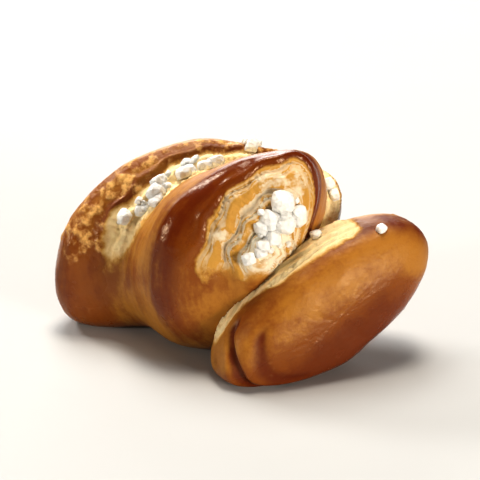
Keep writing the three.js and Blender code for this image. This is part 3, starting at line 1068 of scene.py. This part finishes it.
def floor_material(finish):
    """A matt pale floor with the faintest mottling."""
    material, nodes, place = new_material("Matt floor")
    mottle = nodes.noise(place, 40, 3.0)
    end_material(nodes, {
        "Base Color": nodes.blend(finish.floor, [part * FLOOR_SHADE for part in finish.floor], mottle),
        "Roughness": 0.85,
        "Specular IOR Level": 0.2,
    })
    return material


# Stage

def aimed_at(thing, place, aim):
    """Puts a light or a camera in its place and points it."""
    thing.location = place
    thing.rotation_euler = (Vector(place) - aim).to_track_quat("Z", "Y").to_euler()


def soft_light(name, place, aim, width, watts, tint):
    """A square soft light that points at the bite."""
    data = bpy.data.lights.new(name, "AREA")
    data.shape = "SQUARE"
    data.size = width
    data.energy = watts
    data.color = tint
    aimed_at(in_scene(name, data), place, aim)


def even_world(strength):
    """Even white light from all round."""
    world = bpy.data.worlds.new("Even light")
    nodes = own_nodes(world)
    sockets = {"Color": opaque(WHITE), "Strength": strength}
    background = nodes.add("ShaderNodeBackground", "Background", sockets)
    nodes.add("ShaderNodeOutputWorld", None, {"Surface": background})
    bpy.context.scene.world = world


def aimed_camera(stage, aim):
    """A camera at the photograph's angle, as far off as it was and framed on the bite."""
    data = bpy.data.cameras.new("Camera")
    data.lens = data.sensor_width * stage.distance / stage.frame_width
    camera = in_scene("Camera", data)
    level = math.cos(stage.elevation)
    back = Vector((
        math.sin(stage.azimuth) * level, -math.cos(stage.azimuth) * level, math.sin(stage.elevation)
    ))
    aimed_at(camera, aim + back * stage.distance, aim)
    bpy.context.scene.camera = camera


def round_floor(radius, material):
    """A flat disc of floor."""
    steps = 64
    turns = [2 * math.pi * n / steps for n in range(steps)]
    rim = [(radius * math.cos(turn), radius * math.sin(turn), 0) for turn in turns]
    mesh = bpy.data.meshes.new("floor")
    mesh.from_pydata(rim, [], [list(range(steps))])
    mesh.materials.append(material)
    floor = in_scene("floor", mesh)


# Operators

class PRETZEL_OT_shape_dough(bpy.types.Operator):
    """Make the twisted dough with its flap, its open layers and its lye crust"""

    bl_idname = "pretzel.shape_dough"
    bl_label = "Shape Dough"

    def execute(self, context):
        scene = context.scene
        tree, sockets = dough_tree(scene.pretzel_dough, crust_material(scene.pretzel_finish))
        made_piece("dough", tree, sockets, scene.pretzel_dough, bpy.data.meshes.new("dough"))
        return {"FINISHED"}


class PRETZEL_OT_sprinkle_salt(bpy.types.Operator):
    """Lay the grains of salt along the grooves and on the flap"""

    bl_idname = "pretzel.sprinkle_salt"
    bl_label = "Sprinkle Salt"

    def execute(self, context):
        scene = context.scene
        points = salt_points(grains_of_salt(scene.pretzel_dough, scene.pretzel_salt))
        tree, sockets = salt_tree(scene.pretzel_salt, salt_material(scene.pretzel_finish))
        made_piece("salt", tree, sockets, scene.pretzel_salt, points)
        return {"FINISHED"}


class PRETZEL_OT_set_stage(bpy.types.Operator):
    """Set the floor, the soft lights and the camera"""

    bl_idname = "pretzel.set_stage"
    bl_label = "Set Stage"

    def execute(self, context):
        scene = context.scene
        stage = scene.pretzel_stage
        aim = (CAD_BOX[0] + CAD_BOX[1]) / 2
        round_floor(stage.floor_radius, floor_material(scene.pretzel_finish))
        even_world(stage.world_light)
        for name, (place, width, watts, warm) in LIGHTS.items():
            tint = stage.warm if warm else WHITE
            soft_light(name, place, aim, width, watts * stage.light_power, tint)
        aimed_camera(stage, aim)
        scene.view_settings.view_transform = "Standard"
        scene.view_settings.gamma = stage.gamma
        return {"FINISHED"}


class PRETZEL_PT_bakery(bpy.types.Panel):
    """Lists what makes the bite and its studio"""

    bl_idname = "PRETZEL_PT_bakery"
    bl_label = "Pretzel Bite"
    bl_space_type = "VIEW_3D"
    bl_region_type = "UI"
    bl_category = "Bakery"

    def draw(self, context):
        for operator in OPERATORS:
            self.layout.operator(operator.bl_idname)
        for name in GROUPS:
            box = self.layout.box()
            group = getattr(context.scene, name)
            for prop in own_properties(group):
                box.prop(group, prop.identifier)


GROUPS = {
    "pretzel_dough": DoughSizes,
    "pretzel_salt": SaltSizes,
    "pretzel_finish": Finish,
    "pretzel_stage": StageSettings,
}
OPERATORS = (PRETZEL_OT_shape_dough, PRETZEL_OT_sprinkle_salt, PRETZEL_OT_set_stage)
CLASSES = (*GROUPS.values(), *OPERATORS, PRETZEL_PT_bakery)


def register():
    for cls in CLASSES:
        bpy.utils.register_class(cls)
    for name, group in GROUPS.items():
        setattr(bpy.types.Scene, name, PointerProperty(type=group))


def unregister():
    for name in GROUPS:
        delattr(bpy.types.Scene, name)
    for cls in reversed(CLASSES):
        bpy.utils.unregister_class(cls)


def main():
    register()
    bpy.ops.pretzel.shape_dough()
    bpy.ops.pretzel.sprinkle_salt()
    bpy.ops.pretzel.set_stage()


if __name__ == "__main__":
    main()
